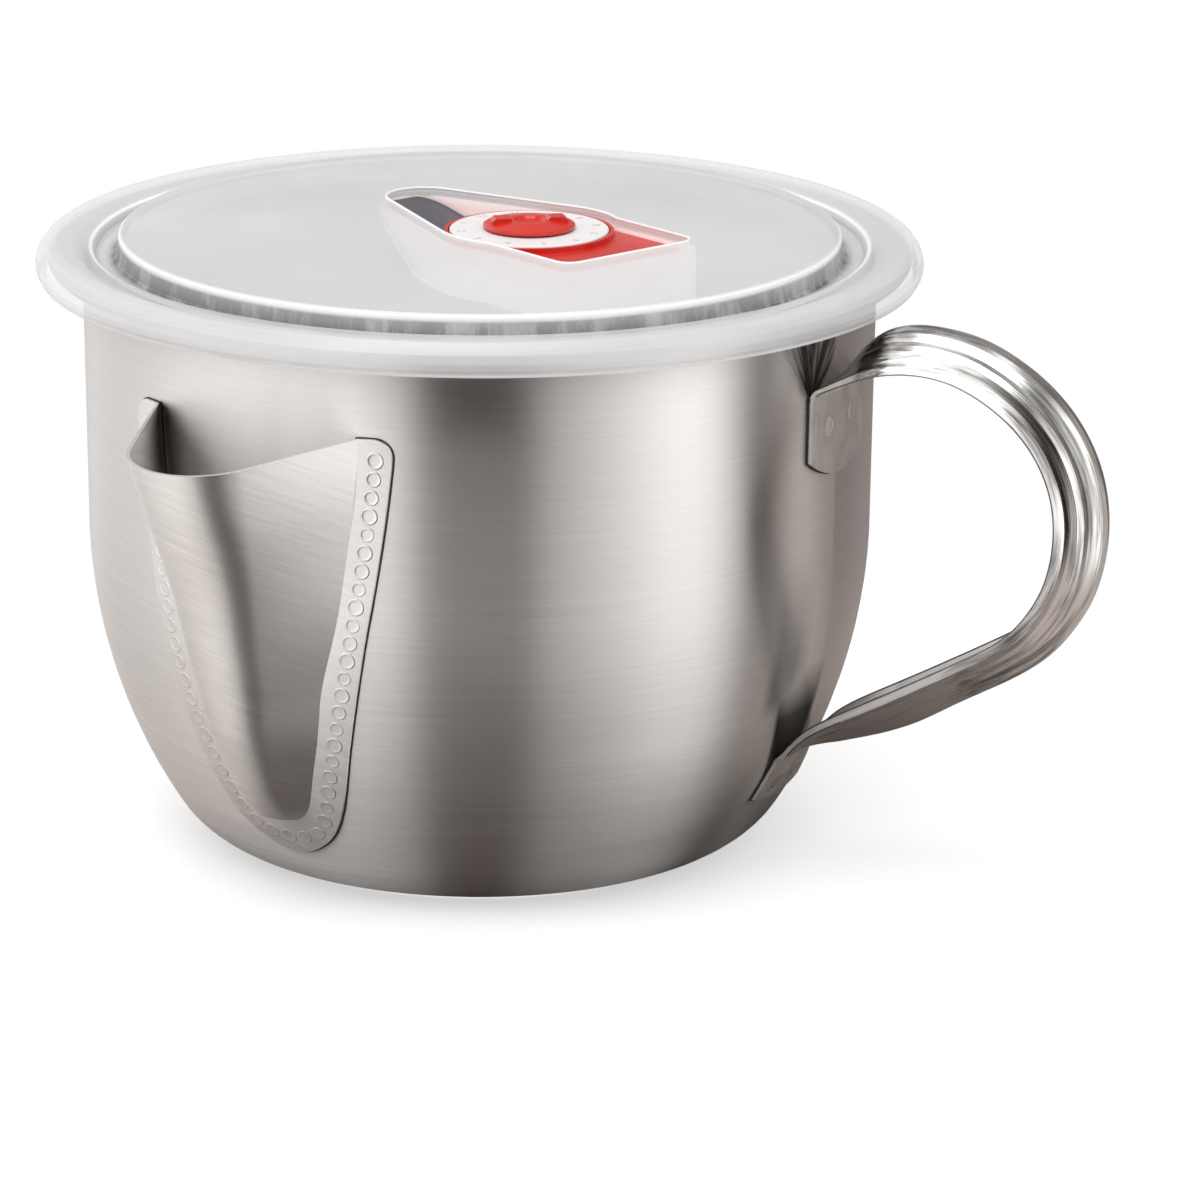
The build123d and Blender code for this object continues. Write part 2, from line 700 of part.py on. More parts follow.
# %% Vent seal: a soft flanged plug on the stem's tip
seal_foot = well_floor - lid_wall - 0.3
with BuildPart() as vent_seal:
    with BuildSketch(valve_plane(seal_foot)):
        Circle(vent_hole_r - 0.3)
    extrude(amount=well_floor + 0.3 - seal_foot)
    with BuildSketch(valve_plane(well_floor + 0.3)):
        Circle(vent_hole_r + 1.7)
    extrude(amount=stem_foot - well_floor - 0.3)
    with BuildSketch(valve_plane(tip_foot)):
        Circle(stem_tip_r)
    extrude(amount=stem_foot - tip_foot, mode=Mode.SUBTRACT)
    fillet(edges().group_by(Axis.Z)[0].sort_by(SortBy.RADIUS)[-1], 0.5)
vent_seal.part.label = "vent_seal"
export_step(vent_seal.part, "parts/vent_seal.step")

for piece in (pot_body, spout, spout_welds, handle, handle_welds):
    print(piece.part.label, len(piece.part.solids()), round(piece.part.volume))
for piece in (lid, valve_plate, date_dial, vent_knob, vent_seal):
    print(piece.part.label, len(piece.part.solids()), round(piece.part.volume))
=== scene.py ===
# %% [markdown]
# # A lidded grease pot
# This lesson dresses a finished CAD model of a steel grease pot: a deep-drawn pot with a spout
# welded to its side, a ribbed channel handle, and a milky press-on lid with a date dial.
# The CAD solids are the fixed frame. Everything here is in metres, +Z up, with the handle along +X
# and the spout close to -Y, and a new piece goes where the CAD says.

# %% Load the frame
import bmesh
import bpy
from math import cos, hypot, pi, radians, sin
from mathutils import Matrix, Quaternion, Vector
from mathutils.bvhtree import BVHTree


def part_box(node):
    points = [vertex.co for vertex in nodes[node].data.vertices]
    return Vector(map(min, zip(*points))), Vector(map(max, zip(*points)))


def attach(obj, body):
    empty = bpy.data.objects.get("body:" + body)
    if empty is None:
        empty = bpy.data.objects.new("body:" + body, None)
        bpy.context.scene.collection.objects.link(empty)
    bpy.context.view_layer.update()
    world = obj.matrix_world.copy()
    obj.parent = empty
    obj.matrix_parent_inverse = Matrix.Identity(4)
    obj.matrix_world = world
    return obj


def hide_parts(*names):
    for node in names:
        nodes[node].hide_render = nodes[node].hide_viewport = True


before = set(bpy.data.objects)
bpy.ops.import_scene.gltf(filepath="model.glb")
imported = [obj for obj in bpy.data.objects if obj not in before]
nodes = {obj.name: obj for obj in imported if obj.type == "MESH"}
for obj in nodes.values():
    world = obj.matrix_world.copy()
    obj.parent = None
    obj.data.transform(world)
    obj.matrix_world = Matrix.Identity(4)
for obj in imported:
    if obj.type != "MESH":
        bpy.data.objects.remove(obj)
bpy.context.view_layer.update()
mm = 0.001
print("CAD nodes:", sorted(nodes))

# %% [markdown]
# ## The camera
# The pot is seen from a little above the lid and from between the spout and the handle. A long
# lens keeps the near and far rims almost alike in size. The camera looks a little past the pot,
# which leaves the pot on the left of the frame, and it is rolled by less than a degree, so that
# the pot stands upright there.

# %% Camera
view_side = radians(28.5)
away = Vector((-sin(view_side), cos(view_side), 0))
rightward = Vector((cos(view_side), sin(view_side), 0))
camera_data = bpy.data.cameras.new("camera")
camera_data.sensor_width = 36
camera_data.lens = 167.8
camera_data.clip_start = 0.01
camera = bpy.data.objects.new("camera", camera_data)
bpy.context.collection.objects.link(camera)
camera.location = (0.4570, -0.8417, 0.3314)
yaw, pitch, roll = radians(1.285), radians(16.88), radians(0.45)
looking = (away * cos(yaw) + rightward * sin(yaw)) * cos(pitch) - Vector((0, 0, sin(pitch)))
camera.rotation_mode = "QUATERNION"
camera.rotation_quaternion = looking.to_track_quat("-Z", "Y") @ Quaternion((0, 0, 1), roll)
bpy.context.scene.camera = camera
bpy.context.scene.view_settings.view_transform = "Standard"
print("camera at", tuple(camera.location), "lens", camera_data.lens)

# %% [markdown]
# ## Shader maths as Python
# A pattern is easier to read as an expression than as a web of nodes. `Value` wraps one socket,
# and each operator on it adds the Math node that does the sum. `Finish` holds one material or
# world, and its single `node` method makes any other node.


# %% Shader helpers
class Value:
    """One output socket, with Python's operators as Math nodes."""

    def __init__(self, finish, socket):
        self.finish = finish
        self.socket = socket

    def math(self, operation, *others):
        return self.finish.node("ShaderNodeMath", {"operation": operation}, self, *others)

    def __add__(self, other):
        return self.math("ADD", other)

    __radd__ = __add__

    def __mul__(self, other):
        return self.math("MULTIPLY", other)

    __rmul__ = __mul__

    def __sub__(self, other):
        return self.math("SUBTRACT", other)

    def __rsub__(self, other):
        return self.finish.node("ShaderNodeMath", {"operation": "SUBTRACT"}, other, self)

    def __truediv__(self, other):
        return self.math("DIVIDE", other)

    def __pow__(self, other):
        return self.math("POWER", other)

    def clamp(self):
        return self.math("MAXIMUM", 0.0).math("MINIMUM", 1.0)

    def ramp(self, *stops):
        """Black to white, or through colours, at the given places."""
        return self.finish.node("ShaderNodeValToRGB", {"stops": stops}, self)


class Finish:
    """A node tree with one method that makes and links a node."""

    def __init__(self, tree):
        self.tree = tree
        tree.nodes.clear()

    def node(self, kind, settings=None, *values, out=0, **named):
        """A node of a kind, with its settings, and its sockets in order or by name."""
        n = self.tree.nodes.new(kind)
        for key, value in (settings or {}).items():
            if key == "stops":
                elements = n.color_ramp.elements
                while len(elements) < len(value):
                    elements.new(1.0)
                for element, (place, colour) in zip(elements, value):
                    element.position = place
                    element.color = shade(colour)
            else:
                setattr(n, key, value)
        pairs = list(enumerate(values)) + [(k.replace("_", " "), v) for k, v in named.items()]
        for key, value in pairs:
            if value is None:
                continue
            if isinstance(value, Value):
                self.tree.links.new(value.socket, n.inputs[key])
            else:
                n.inputs[key].default_value = value
        return Value(self, n.outputs[out]) if n.outputs else None

    def coords(self, scale=(1, 1, 1), turn=(0, 0, 0), centre=(0, 0, 0)):
        """Object coordinates, centred, turned and scaled."""
        place = self.node("ShaderNodeTexCoord", out=3)
        moved = self.node("ShaderNodeMapping", None, place, tuple(-c for c in centre))
        turned = self.node("ShaderNodeMapping", None, moved, (0, 0, 0), tuple(turn))
        return self.node("ShaderNodeMapping", None, turned, (0, 0, 0), (0, 0, 0), tuple(scale))

    def noise(self, coords, scale=1.0, detail=2.0, roughness=0.5):
        return self.node("ShaderNodeTexNoise", None, coords, Scale=scale, Detail=detail, Roughness=roughness)

    def parts(self, coords):
        """The three numbers of a vector."""
        split = self.node("ShaderNodeSeparateXYZ", None, coords)
        return [Value(self, s) for s in split.socket.node.outputs]

    def mix(self, share, first, second):
        """Two colours, mixed."""
        made = self.node("ShaderNodeMix", {"data_type": "RGBA"}, share)
        n = made.socket.node
        for socket, value in ((n.inputs[6], first), (n.inputs[7], second)):
            if isinstance(value, Value):
                self.tree.links.new(value.socket, socket)
            else:
                socket.default_value = shade(value)
        return Value(self, n.outputs[2])

    def bump(self, height, distance, strength=1.0):
        return self.node("ShaderNodeBump", None, Strength=strength, Distance=distance, Height=height)


def shade(colour):
    """A grey number or three numbers as a colour with alpha."""
    if isinstance(colour, (int, float)):
        return (colour, colour, colour, 1.0)
    return (*colour[:3], 1.0)


def new_finish(name):
    """A new material and the helper for its node tree."""
    material = bpy.data.materials.new(name)
    material.use_nodes = True
    return material, Finish(material.node_tree)


def surface(finish, shader):
    """Ends a material with its surface shader."""
    finish.node("ShaderNodeOutputMaterial", None, shader)


print("shader helpers ready")

# %% [markdown]
# ## Soft steps
# Most masks in this lesson are soft steps along a coordinate: nothing up to some place, all of it
# a bit further on, and a straight slope between. Multiplied together they fence off a patch.


# %% Step helpers
def above(value, start, over):
    """0 up to the start, and 1 once the value is that much over it."""
    return ((value - start) / over).clamp()


def below(value, end, over):
    """0 from the end on, and 1 while the value is that much under it."""
    return ((end - value) / over).clamp()


def near(value, centre, width):
    """1 at the centre, and 0 from the width on, to both sides."""
    return (1.0 - (value - centre).math("ABSOLUTE") / width).clamp()


print("step helpers ready")

# %% [markdown]
# ## A white room
# The backdrop and the floor are plain white for straight looks, gloss and glass. For the light
# that they scatter onto other things, the backdrop is a little warmer and the floor a good deal
# darker. The floor is a small disc that fades out before its edge, so no line shows where it meets
# the backdrop.


# %% World and floor
def light_path(finish):
    """The kinds of ray, by name."""
    path = finish.node("ShaderNodeLightPath")
    return {s.name: Value(finish, s) for s in path.socket.node.outputs}


def sees_background(finish):
    """1 for the rays that find a plain white background: straight looks, gloss and glass."""
    rays = light_path(finish)
    return (rays["Is Camera Ray"] + rays["Is Glossy Ray"] + rays["Is Transmission Ray"]).clamp()


def stage_piece(name, bm, material):
    """Turns a bmesh into a piece of the stage, which isn't part of the pot."""
    mesh = bpy.data.meshes.new(name)
    bm.to_mesh(mesh)
    bm.free()
    obj = bpy.data.objects.new(name, mesh)
    bpy.context.collection.objects.link(obj)
    mesh.materials.append(material)
    return obj


def stage_disc(name, radius, height, material):
    """A round floor or cloth."""
    bm = bmesh.new()
    bmesh.ops.create_circle(bm, cap_ends=True, segments=64, radius=radius)
    bmesh.ops.translate(bm, verts=bm.verts, vec=(0, 0, height))
    return stage_piece(name, bm, material)


def from_middle(finish, spot):
    """How far a point lies from the middle of the floor."""
    return finish.node("ShaderNodeVectorMath", {"operation": "LENGTH"}, spot, out=1)


def fade_out(finish, shader, start, end):
    """The shader, gone to clear between two distances from the middle of the floor."""
    share = above(from_middle(finish, finish.coords()), start, end - start)
    clear = finish.node("ShaderNodeBsdfTransparent")
    return finish.node("ShaderNodeMixShader", None, share, shader, clear)


white = (1.0, 1.0, 1.0, 1.0)
world = bpy.data.worlds.new("room")
bpy.context.scene.world = world
world.use_nodes = True
room = Finish(world.node_tree)
plain = room.node("ShaderNodeBackground", None, white, 1.0)
lit = room.node("ShaderNodeBackground", None, (0.88, 0.87, 0.865, 1.0), 1.0)
backdrop = room.node("ShaderNodeMixShader", None, sees_background(room), lit, plain)
room.node("ShaderNodeOutputWorld", None, backdrop)

pale, tree = new_finish("pale_floor")
ground = tree.node("ShaderNodeBsdfDiffuse", None, (0.24, 0.205, 0.185, 1.0))
white_ground = tree.node("ShaderNodeBsdfDiffuse", None, (0.60, 0.60, 0.60, 1.0))
floor_glow = tree.node("ShaderNodeEmission", None, white, 0.55)
bright_ground = tree.node("ShaderNodeAddShader", None, white_ground, floor_glow)
paved = tree.node("ShaderNodeMixShader", None, sees_background(tree), ground, bright_ground)
surface(tree, fade_out(tree, paved, start=0.12, end=0.18))
stage_disc("floor", radius=0.185, height=0.0, material=pale)
print("white floor and backdrop")

# %% [markdown]
# ## Cards for the steel
# Steel has next to no colour of its own: it shows the room. A white room would leave this pot a
# blank white shape. So a tent of cards stands far out round the pot: two broad bright cards, one
# on each side of the camera, with a dim, warm gap behind the camera between them, and a mottled
# ceiling that streaks the handle. That gap is the dark band down the middle of the pot.
# The tent is there for glossy rays only, and it throws no shadow. It is closed, so what shines
# shows the tent in place of the white backdrop.
# The bearing runs once round the pot from 0 to 1: 0.25 is to the left, 0.5 is behind the camera
# and 0.75 is to the right. Each stop gives a bearing and the light of the card there.


# %% Tent of cards
def only_in_reflections(obj):
    """Hides a stage piece from every ray but a glossy one."""
    for kind in ("camera", "diffuse", "transmission", "volume_scatter", "shadow"):
        setattr(obj, "visible_" + kind, False)


def toward(finish, spot, direction):
    """How far a point lies from the pot's axis in a direction."""
    product = {"operation": "DOT_PRODUCT"}
    return finish.node("ShaderNodeVectorMath", product, spot, tuple(direction), out=1)


dim = (0.045, 0.036, 0.031)
card_edge = (0.15, 0.135, 0.125)
far_side = (0.32, 0.29, 0.28)
left_card = (
    (0.08, 1.0), (0.13, 0.95), (0.19, 1.1), (0.25, 1.5), (0.30, 1.8), (0.36, 2.0), (0.41, 1.5), (0.44, 1.1),
)
gap = ((0.455, card_edge), (0.47, dim), (0.52, dim), (0.535, card_edge))
right_card = ((0.555, 0.8), (0.60, 1.25), (0.66, 2.0), (0.69, 2.0), (0.715, 1.2))
slot = ((0.735, (0.2, 0.18, 0.17)), (0.762, card_edge))
small_card = ((0.785, (0.85, 0.80, 0.77)), (0.81, (0.62, 0.57, 0.54)), (0.84, card_edge))
behind_pot = ((0.90, far_side), (1.00, far_side))
card_stops = ((0.00, far_side), *left_card, *gap, *right_card, *slot, *small_card, *behind_pot)
ceiling_stops = ((0.36, 0.10), (0.47, 0.35), (0.56, 0.8), (0.64, 1.3))

card, tree = new_finish("cards")
spot = tree.coords()
bearing = toward(tree, spot, rightward).math("ARCTAN2", toward(tree, spot, -away)) / (2 * pi) + 0.5
ceiling = tree.noise(spot, scale=0.8, detail=2.0).ramp(*ceiling_stops)
top_share = above(tree.parts(spot)[2], 1.9, 0.6)
shown = tree.mix(top_share, bearing.ramp(*card_stops), ceiling)
surface(tree, tree.node("ShaderNodeEmission", None, shown, 1.0))
card.cycles.emission_sampling = "NONE"
tent = bmesh.new()
bmesh.ops.create_uvsphere(tent, u_segments=256, v_segments=96, radius=3.0)
only_in_reflections(stage_piece("cards", tent, card))
print("tent of cards with", len(card_stops), "stops round the pot")

# %% [markdown]
# ## Cloth under the pot
# The belly of the pot turns downward and shows what lies under it. A grey cloth lies there, just
# over the white floor and for glossy rays only. It is dark in the middle and paler towards the two
# sides, which shades the belly.

# %% Cloth
cloth, tree = new_finish("grey_cloth")
spot = tree.coords()
to_right = toward(tree, spot, rightward)
right_end = above(from_middle(tree, spot), 0.088, 0.03) * above(to_right, 0.06, 0.04)
left_end = below(to_right, -0.045, 0.03)
weave = tree.mix((right_end + left_end).clamp(), (0.12, 0.10, 0.09), (0.46, 0.41, 0.38))
surface(tree, fade_out(tree, tree.node("ShaderNodeBsdfDiffuse", None, weave), start=0.18, end=0.28))
only_in_reflections(stage_disc("cloth", radius=0.285, height=0.0004, material=cloth))
print("cloth under the pot")

# %% [markdown]
# ## Top light
# One broad, soft lamp hangs high over the pot, a little towards the camera and to its left. It
# lights the lid and the other plastic parts.


# %% Top light
def soft_box(name, bearing_deg, height, reach, size, watts):
    """An area lamp that faces the pot's middle from a bearing to the right of the camera."""
    a = radians(bearing_deg)
    place = (-away * cos(a) + rightward * sin(a)) * reach + Vector((0, 0, height))
    middle = Vector((0, 0, 0.05))
    data = bpy.data.lights.new(name, "AREA")
    data.shape = "RECTANGLE"
    data.size, data.size_y = size
    data.energy = watts
    lamp = bpy.data.objects.new(name, data)
    bpy.context.collection.objects.link(lamp)
    lamp.location = place
    lamp.rotation_mode = "QUATERNION"
    lamp.rotation_quaternion = (middle - place).to_track_quat("-Z", "Y")
    return lamp


soft_box("top_light", bearing_deg=-25, height=1.2, reach=0.35, size=(0.9, 0.9), watts=6.5)
print("studio ready")

# %% [markdown]
# ## Brushed steel
# The pot's wall was brushed while the pot turned, so its hair lines run round it. The lines are
# far too fine to model: a noise that is stretched a hundred times along the wall gives them, and
# feeds the colour, the roughness and a very small bump. Anisotropy spreads each reflection up and
# down, across the lines, which is why brushed steel shows tall soft bands.

# %% Brushed steel
hair_depth = 0.02 * mm
shaded_steel = (0.03, 0.028, 0.026)


def brushed(name, colour, roughness, grain, turn=(0, 0, 0), spread=0.8, mark=0.5, shaded=None):
    """Satin steel with hair lines. The grain says how many lines come to a metre each way."""
    material, f = new_finish(name)
    lines = f.noise(f.coords(grain, turn), 1.0, 3.0, 0.65)
    broad = f.noise(f.coords(tuple(c * 0.35 for c in grain), turn, (0.3, 0.1, 0.2)), 1.0, 2.0)
    cloudy = f.noise(f.coords((14, 14, 22), turn), 1.0, 2.0)
    fine = (lines - 0.5) * 2
    tone = ((cloudy - 0.5) * 0.25 + fine * mark + (broad - 0.5) * (mark * 0.4) + 0.5).clamp()
    base = f.mix(tone, tuple(c * 0.86 for c in colour), tuple(min(c * 1.12, 1.0) for c in colour))
    if shaded:
        base = f.mix(shaded(f), base, shaded_steel)
    rough = (fine * 0.05 + (cloudy - 0.5) * 0.08 + roughness).clamp()
    shader = f.node(
        "ShaderNodeBsdfPrincipled", None, Base_Color=base, Metallic=1.0, Roughness=rough,
        Anisotropic=spread, Anisotropic_Rotation=0.25,
        Normal=f.bump(lines, hair_depth, 0.35),
    )
    surface(f, shader)
    return material


def millimetres(f):
    """The three object coordinates, in millimetres."""
    return [c / mm for c in f.parts(f.coords())]


print("brushed steel ready")

# %% [markdown]
# ## Dark corners on the wall
# Where a sheet meets the wall, the two show each other many times over and the corner goes dark:
# inside the spout's mouth, over the handle's upper tab and over its lower one. The belly also
# darkens towards the right. These patches are painted into the wall's colour. The paint suits the
# view from the camera, and it stays in place when the pot is seen from elsewhere.
# All the lengths here are in millimetres.


# %% Painted corners
def pocket(f):
    """Painted shade: the dark corner on the wall, where the spout's mouth closes on it."""
    x, y, z = millimetres(f)
    level = above(x, -26.8, 0.4) * below(x, -19.0, 7.0) ** 1.6 * below(y, -40.0, 2.0)
    return level * above(z, 70.0, 6.0) * below(z, 89.6, 1.5) * 0.95


def fan(f):
    """Painted dark reflection: a fan of dark streaks on the wall over the handle's upper tab."""
    x, y, z = millimetres(f)
    up, side = z - 88.3, y + 9.2
    spread = up.math("ARCTAN2", side)
    reach = (up * up + side * side) ** 0.5
    rays = f.noise(f.node("ShaderNodeCombineXYZ", None, spread * 4.5, reach * 0.05, 0.0), 1.0, 2.0, 0.6)
    held = above(spread - reach * 0.03, 0.40, 0.15) * below(spread, 2.28, 0.10)
    held = held * above(x, 50.0, 5.0) * below(z, 104.0, 2.0)
    return held * ((rays - 0.5) * 5.0 + 0.75 + below(reach, 5.0, 4.0)).clamp() * 0.88


def pool(f):
    """Painted dark reflection: the black corner on the wall over the handle's lower tab, with a grey plume
    over it.
    """
    x, y, z = millimetres(f)
    from_edge = y + 9.4 + (z - 21.0) * 0.25
    black = above(from_edge, 0.0, 1.2) * below(y, 2.5, 1.5) * below(z, 40.0, 9.0) * above(z, 17.0, 2.0)
    grey = above(y, -17.5, 2.5) * below(y, -5.0, 5.0) * above(z, 32.0, 4.0) * below(z, 62.0, 20.0)
    return (black * 0.93).math("MAXIMUM", grey * 0.45) * above(x, 50.0, 5.0)


def wall_shade(f):
    """All the painted shade and painted dark reflection on the pot's wall: the three corners and the belly's
    right side.
    """
    x, y, z = millimetres(f)
    right = x * rightward.x + y * rightward.y
    # The belly's right side is darkened as painted shade.
    belly = above(right, 5.0, 25.0) * below(z, 32.0, 20.0) * 0.35
    return pocket(f).math("MAXIMUM", fan(f)).math("MAXIMUM", pool(f)).math("MAXIMUM", belly)


pot_steel = brushed(
    "brushed_steel", (0.83, 0.805, 0.785), 0.44, (30, 30, 2900), spread=1.0, mark=0.5, shaded=wall_shade,
)
spout_steel = brushed(
    "spout_steel", (0.80, 0.78, 0.76), 0.44, (90, 90, 2600), turn=(radians(20), radians(-14), 0),
    spread=0.9, mark=0.6,
)
print("steel for the pot and the spout")

# %% [markdown]
# ## Polished handle
# The handle was pressed from a polished strip. Its streaks run along the strip, so the noise is
# stretched along the bow: one coordinate goes round the bow's centre, one goes across the strip,
# and one is the distance from that centre. Where the bow ends in a straight arm, the distance
# from the arm's line takes over. The flat tabs on the wall stay satin. The hollow of the channel
# is painted dark as painted shade, a ragged patch of painted shade lies where the strip bends
# away from the upper tab, and the low side of the bow is painted lighter as painted light.

# %% Handle finish
bow_x, bow_z = 90.0, 70.5
arm_x, arm_z = 97.3, 45.6
arm_lean = radians(30.2)
arm_reach = 25.95


def strip_track(f, x, y, z):
    """The distance from the bow's centre, and a broad and a fine track along the strip."""
    from_bow = ((x - bow_x) ** 2 + (z - bow_z) ** 2) ** 0.5
    from_arm = arm_reach - ((z - arm_z) * cos(arm_lean) - (x - arm_x) * sin(arm_lean))
    on_arm = below(x, arm_x, 2.0) * below(z, 60.0, 2.0)
    out = from_bow * (1.0 - on_arm) + from_arm * on_arm
    around = (z - bow_z).math("ARCTAN2", x - bow_x)
    broad_track = f.node("ShaderNodeCombineXYZ", None, out * 0.75, y * 0.75, around * 1.6)
    fine_track = f.node("ShaderNodeCombineXYZ", None, out * 3.0, y * 3.0, around * 3.0)
    return from_bow, broad_track, fine_track


def handle_finish():
    """Polished strip: streaks run along the bow, and the flat tabs on the wall stay satin."""
    material, f = new_finish("polished_steel")
    x, y, z = millimetres(f)
    from_bow, broad_track, fine_track = strip_track(f, x, y, z)
    streaks = f.noise(broad_track, 1.0, 3.0, 0.6)
    hairs = f.noise(fine_track, 1.0, 2.0, 0.6)
    patches = f.noise(f.coords((55, 90, 55)), 1.0, 2.0)
    blotches = f.noise(f.coords((260, 260, 160)), 1.0, 3.0, 0.6)
    upper_tab = below(x, 77.0, 1.5) * above(z, 60.0, 2.0)
    lower_tab = below(x, 72.0, 3.0) * below(z, 36.0, 2.0)
    tab = upper_tab + lower_tab
    # Painted light: the low side of the bow is made lighter, and rougher, to stay as bright as a lit arm.
    low_side = below(x, 106.0, 14.0) * below(z, 66.0, 10.0)
    uneven = (streaks - 0.5) * 3.0 + (hairs - 0.5) * 1.4 + low_side * 0.7 + (patches - 0.5) * 2.0
    bright = f.mix((uneven + 0.5).clamp(), (0.25, 0.24, 0.23), (0.84, 0.825, 0.81))
    normal_x, _, normal_z = f.parts(f.node("ShaderNodeNewGeometry", out=1))
    faces_out = (normal_x * (x - bow_x) + normal_z * (z - bow_z)) / from_bow
    # Painted shade: the hollow of the channel, which faces the wall, turns nearly black.
    hollow_shade = below(faces_out, -0.05, 0.2) * above(x, 78.0, 2.0)
    bright = f.mix(hollow_shade * 0.85, bright, (0.10, 0.095, 0.09))
    # Painted shade: a ragged dark patch in the bend where the strip leaves the upper tab.
    ragged = x + (hairs - 0.5) * 9.0
    bend_shade = above(ragged, 76.0, 1.2) * below(ragged, 81.5, 1.5) * above(z, 91.0, 2.0)
    bright = f.mix(bend_shade * 0.8, bright, (0.06, 0.057, 0.055))
    satin = f.mix(((blotches - 0.5) * 2.5 + 0.5).clamp(), (0.52, 0.49, 0.46), (0.72, 0.70, 0.67))
    rough = (tab * 0.22 + low_side * 0.2 + (hairs - 0.5) * 0.1 + 0.2).clamp()
    shader = f.node(
        "ShaderNodeBsdfPrincipled", None, Base_Color=f.mix(tab, bright, satin), Metallic=1.0,
        Roughness=rough, Normal=f.bump(hairs, hair_depth, 0.3),
    )
    surface(f, shader)
    return material


handle_steel = handle_finish()
print("steel for the handle")

# %% [markdown]
# ## Steel on the CAD nodes
# A CAD node already has its mesh and its place, so only its material slots change.


# %% Dress the steel nodes
def dress(node, material):
    """Puts one material in every slot of a CAD node."""
    slots = nodes[node].data.materials
    if len(slots) == 0:
        slots.append(material)
    for k in range(len(slots)):
        slots[k] = material
    for k in range(len(nodes[node].material_slots)):
        nodes[node].material_slots[k].material = material


dress("pot_body", pot_steel)
dress("spout_welds", pot_steel)
dress("handle", handle_steel)
dress("handle_welds", handle_steel)
print("steel on the pot and handle")

# %% [markdown]
# ## The spout's grain
# Brushed steel needs to know which way its hair lines run. The shader guesses that they run
# round the upright middle line of a mesh's texture space, which is right on the round pot and
# would be a swirl in the middle of the spout. A mesh of one's own can move that space. So the
# spout is a copy of the CAD solid whose texture space, like that of every new piece, lies round
# the pot's axis.

# %% Spout with its grain
merge_distance = 1e-6
smooth_angle = radians(24)


def merged(node):
    """A copy of a CAD node's mesh with its loose triangles joined."""
    bm = bmesh.new()
    bm.from_mesh(nodes[node].data)
    bmesh.ops.remove_doubles(bm, verts=bm.verts, dist=merge_distance)
    return bm


def piece(name, bm, material, body, *replaced):
    """Turns a bmesh into a smooth piece that rides on a body and may replace CAD nodes."""
    for face in bm.faces:
        face.smooth = True
    for edge in bm.edges:
        edge.smooth = len(edge.link_faces) == 2 and edge.calc_face_angle() < smooth_angle
    mesh = bpy.data.meshes.new(name)
    bm.to_mesh(mesh)
    bm.free()
    mesh.use_auto_texspace = False
    mesh.texspace_location = (0, -0.02, 0.05)
    mesh.texspace_size = (0.1, 0.1, 0.1)
    obj = bpy.data.objects.new(name, mesh)
    bpy.context.collection.objects.link(obj)
    mesh.materials.append(material)
    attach(obj, body)
    if replaced:
        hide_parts(*replaced)
    print(name, len(mesh.polygons), "faces")
    return obj


piece("brushed_spout", merged("spout"), spout_steel, "pot", "spout")

# %% [markdown]
# ## Milky plastic
# The lid is soft polypropylene, a bit over a millimetre thick. It lets part of what is behind it
# show. Rough glass would do this too, but it renders slowly and grainily. A white plastic with
# some alpha gives the same look for a thin wall, and the alpha can change over the lid. Each
# moulded edge is painted white and more opaque, as a painted highlight, and the groove and the
# finger ramp are painted dark, as painted shade, and hide more of what is behind them.
# The masks come first. They name the places on the lid in millimetres: r is the distance from the
# pot's axis and h the height, and u, v and w lie along, across and over the floor of the well.

# %% Places on the lid
well_angle = radians(-21.5)
well_floor = 0.0997
ramp_foot = 16.0
ramp_slope = -0.394
dial_low, dial_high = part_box("date_dial")
dial_centre = (dial_low + dial_high) / 2

lid_plastic, f = new_finish("milky_plastic")
x, y, z = f.parts(f.coords())
per_mm = (1 / mm, 1 / mm, 1 / mm)
u, v, w = f.parts(f.coords(per_mm, (0, 0, -well_angle), (dial_centre.x, dial_centre.y, well_floor)))
r = (x * x + y * y) ** 0.5 / mm
h = z / mm
inside = below(r, 58.0, 0.5)
well = inside * below(h, 107.5, 0.2)
# Painted light: the upper part of the well's walls, which takes on the red of the valve plate.
painted_red_spill = inside * near(h, 105.6, 2.4) * below(h, 107.6, 0.1)
ramp_face = near(w - (u + ramp_foot) * ramp_slope, 0.0, 0.5) * below(u, -15.0, 0.5)
ramp_face = ramp_face * below(v.math("ABSOLUTE"), 15.5, 0.5) * below(w, 7.75, 0.2)
brim = above(r, 68.0, 1.5)
skirt = above(r, 75.5, 1.5)
streaks = f.noise(f.coords((220, 220, 60)), 1.0, 4.0, 0.7)
groove = near(r, 64.0, 1.6) * below(h, 107.9, 0.5) * ((streaks - 0.5) * 3.0 + 0.85).clamp()
# Painted highlights: the panel's edge, the crown's edge, the skirt's edge and the top of the well turn
# white.
panel_edge = near(r, 63.3, 0.75) * above(h, 107.6, 0.5)
crown_edge = near(r, 68.2, 0.6) * above(h, 106.0, 0.4)
skirt_edge = near(h, 102.0, 0.55) * above(r, 76.4, 0.4)
well_top_highlight = inside * near(h, 108.75, 0.8) * below(h, 108.88, 0.02)
edges = panel_edge.math("MAXIMUM", crown_edge).math("MAXIMUM", skirt_edge).math("MAXIMUM", well_top_highlight)
print("masks for the lid, with the dial at", tuple(round(c, 4) for c in dial_centre))

# %% [markdown]
# The colours and the alpha follow from the masks. The well also gets a faint glow of its own, a
# little redder on the upper part of its walls. It stands for the light that scatters inside the
# plastic and picks up the red of the valve plate, which alpha alone can't carry.

